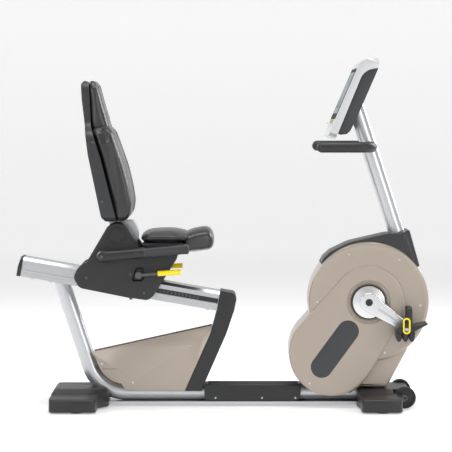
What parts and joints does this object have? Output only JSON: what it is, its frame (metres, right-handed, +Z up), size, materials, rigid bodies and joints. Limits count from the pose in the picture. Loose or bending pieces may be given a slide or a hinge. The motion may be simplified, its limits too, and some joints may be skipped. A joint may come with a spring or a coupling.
{
  "type": "recumbent exercise bike",
  "caption": "Recumbent exercise bike with a sliding reclining seat, drive housing, pedals and a console on a leaning mast.",
  "frame": {"origin": "on the floor, under the centre of the bounding box", "axes": "+X to the front, towards the pedals and console; +Y to the rider's left; +Z up"},
  "size_m": [1.6274, 0.6, 1.3766],
  "materials": {
    "silver_paint": "satin silver",
    "aluminium": "brushed anodised",
    "steel": "zinc plated",
    "frame_steel": "satin grey",
    "black_mould": "fine texture",
    "champagne": "satin champagne",
    "grey_mould": "satin",
    "badge": "satin",
    "rubber": "matt",
    "seat_vinyl": "semi gloss",
    "yellow": "gloss",
    "screen": "gloss",
    "crank_metal": "polished",
    "bezel_silver": "satin silver",
    "white_nylon": "matt"
  },
  "bodies": {
    "frame": {"base_tube": "silver_paint", "tube_bend": "silver_paint", "seat_upright": "silver_paint", "base_plate": "steel", "crossbars": "frame_steel", "rear_foot_cover": "black_mould", "front_foot_cover": "black_mould", "floor_pads": "rubber", "front_post": "black_mould", "seat_rail": "aluminium", "rail_end_cap": "black_mould", "seat_rack": "black_mould", "side_panel_right": "champagne", "side_panel_left": "champagne", "panel_spacers": "steel", "step_cover": "black_mould", "cover_screws": "steel", "drive_frame": "frame_steel", "crank_bearings": "steel", "drive_cover_right": "champagne", "drive_cover_left": "champagne", "drive_badges": "badge", "drive_belt": "rubber", "mast": "silver_paint", "mast_shroud": "grey_mould", "handlebar": "frame_steel", "handlebar_grips": "rubber", "console_back": "grey_mould", "console_bezel": "bezel_silver", "console_screen": "screen", "wheel_brackets": "frame_steel"},
    "transport_wheel_right": {"transport_wheel_right": "rubber"},
    "transport_wheel_left": {"transport_wheel_left": "rubber"},
    "carriage": {"carriage_frame": "frame_steel", "carriage_cover_right": "black_mould", "carriage_cover_left": "black_mould", "seat_pan": "black_mould", "seat_cushion": "seat_vinyl", "seat_handles": "black_mould", "seat_handle_grips": "grey_mould"},
    "roller_rear": {"roller_rear": "white_nylon"},
    "roller_front": {"roller_front": "white_nylon"},
    "roller_lower": {"roller_lower": "white_nylon"},
    "release_lever": {"release_lever": "frame_steel", "lever_grips": "yellow"},
    "lock_pin": {"lock_pin": "steel"},
    "backrest": {"backrest_frame": "steel", "backrest_shell": "grey_mould", "backrest_cushion": "seat_vinyl"},
    "crank": {"crank_spindle": "steel", "crank_arms": "crank_metal", "crank_pulley": "steel"},
    "pedal_right": {"pedal_right": "black_mould", "pedal_strap_right": "rubber"},
    "pedal_left": {"pedal_left": "black_mould", "pedal_strap_left": "rubber"},
    "flywheel": {"flywheel": "steel"},
    "key_start": {"key_start": "yellow"},
    "key_up": {"key_up": "grey_mould"},
    "key_down": {"key_down": "grey_mould"}
  },
  "joints": [
    {"name": "wheel_right_spin", "type": "hinge", "parent": "frame", "child": "transport_wheel_right", "pos_m": [0.719, -0.132, 0.045], "axis": [0, 1, 0], "continuous": true},
    {"name": "wheel_left_spin", "type": "hinge", "parent": "frame", "child": "transport_wheel_left", "pos_m": [0.719, 0.132, 0.045], "axis": [0, 1, 0], "continuous": true},
    {"name": "seat_slide", "type": "slide", "parent": "frame", "child": "carriage", "axis": [0.9848, 0, -0.1736], "range_m": [-0.19, 0.2]},
    {"name": "roller_rear_spin", "type": "hinge", "parent": "carriage", "child": "roller_rear", "pos_m": [-0.49086, 0, 0.55933], "axis": [0, 1, 0], "continuous": true},
    {"name": "roller_front_spin", "type": "hinge", "parent": "carriage", "child": "roller_front", "pos_m": [-0.28405, 0, 0.52287], "axis": [0, 1, 0], "continuous": true},
    {"name": "roller_lower_spin", "type": "hinge", "parent": "carriage", "child": "roller_lower", "pos_m": [-0.36099, 0, 0.43205], "axis": [0, 1, 0], "continuous": true},
    {"name": "release_lever_turn", "type": "hinge", "parent": "carriage", "child": "release_lever", "pos_m": [-0.326, 0, 0.53041], "axis": [0, -1, 0], "range_deg": [0, 18], "stiffness_Nm_per_rad": 4, "springref_deg": -17.19},
    {"name": "lock_pin_slide", "type": "slide", "parent": "carriage", "child": "lock_pin", "axis": [0, -1, 0], "range_m": [0, 0.008]},
    {"name": "backrest_tilt", "type": "hinge", "parent": "carriage", "child": "backrest", "pos_m": [-0.411, 0, 0.68241], "axis": [0, -1, 0], "range_deg": [-6, 14]},
    {"name": "crank_spin", "type": "hinge", "parent": "frame", "child": "crank", "pos_m": [0.577, 0, 0.419], "axis": [0, 1, 0], "continuous": true},
    {"name": "pedal_right_spin", "type": "hinge", "parent": "crank", "child": "pedal_right", "pos_m": [0.71794, -0.124, 0.32394], "axis": [0, 1, 0], "continuous": true},
    {"name": "pedal_left_spin", "type": "hinge", "parent": "crank", "child": "pedal_left", "pos_m": [0.43606, 0.124, 0.51406], "axis": [0, 1, 0], "continuous": true},
    {"name": "flywheel_spin", "type": "hinge", "parent": "frame", "child": "flywheel", "pos_m": [0.432, 0, 0.217], "axis": [0, 1, 0], "continuous": true},
    {"name": "key_start_press", "type": "slide", "parent": "frame", "child": "key_start", "axis": [0.9178, 0, -0.3971], "range_m": [0, 0.0015], "stiffness_N_per_m": 400},
    {"name": "key_up_press", "type": "slide", "parent": "frame", "child": "key_up", "axis": [0.9178, 0, -0.3971], "range_m": [0, 0.0015], "stiffness_N_per_m": 400},
    {"name": "key_down_press", "type": "slide", "parent": "frame", "child": "key_down", "axis": [0.9178, 0, -0.3971], "range_m": [0, 0.0015], "stiffness_N_per_m": 400}
  ],
  "couplings": [
    {"joint": "roller_rear_spin", "follows": "seat_slide", "rad_per_m": 58.824},
    {"joint": "roller_front_spin", "follows": "seat_slide", "rad_per_m": 58.824},
    {"joint": "roller_lower_spin", "follows": "seat_slide", "rad_per_m": -111.11},
    {"joint": "lock_pin_slide", "follows": "release_lever_turn", "m_per_rad": 0.02536},
    {"joint": "flywheel_spin", "follows": "crank_spin", "ratio": 4.7727}
  ]
}
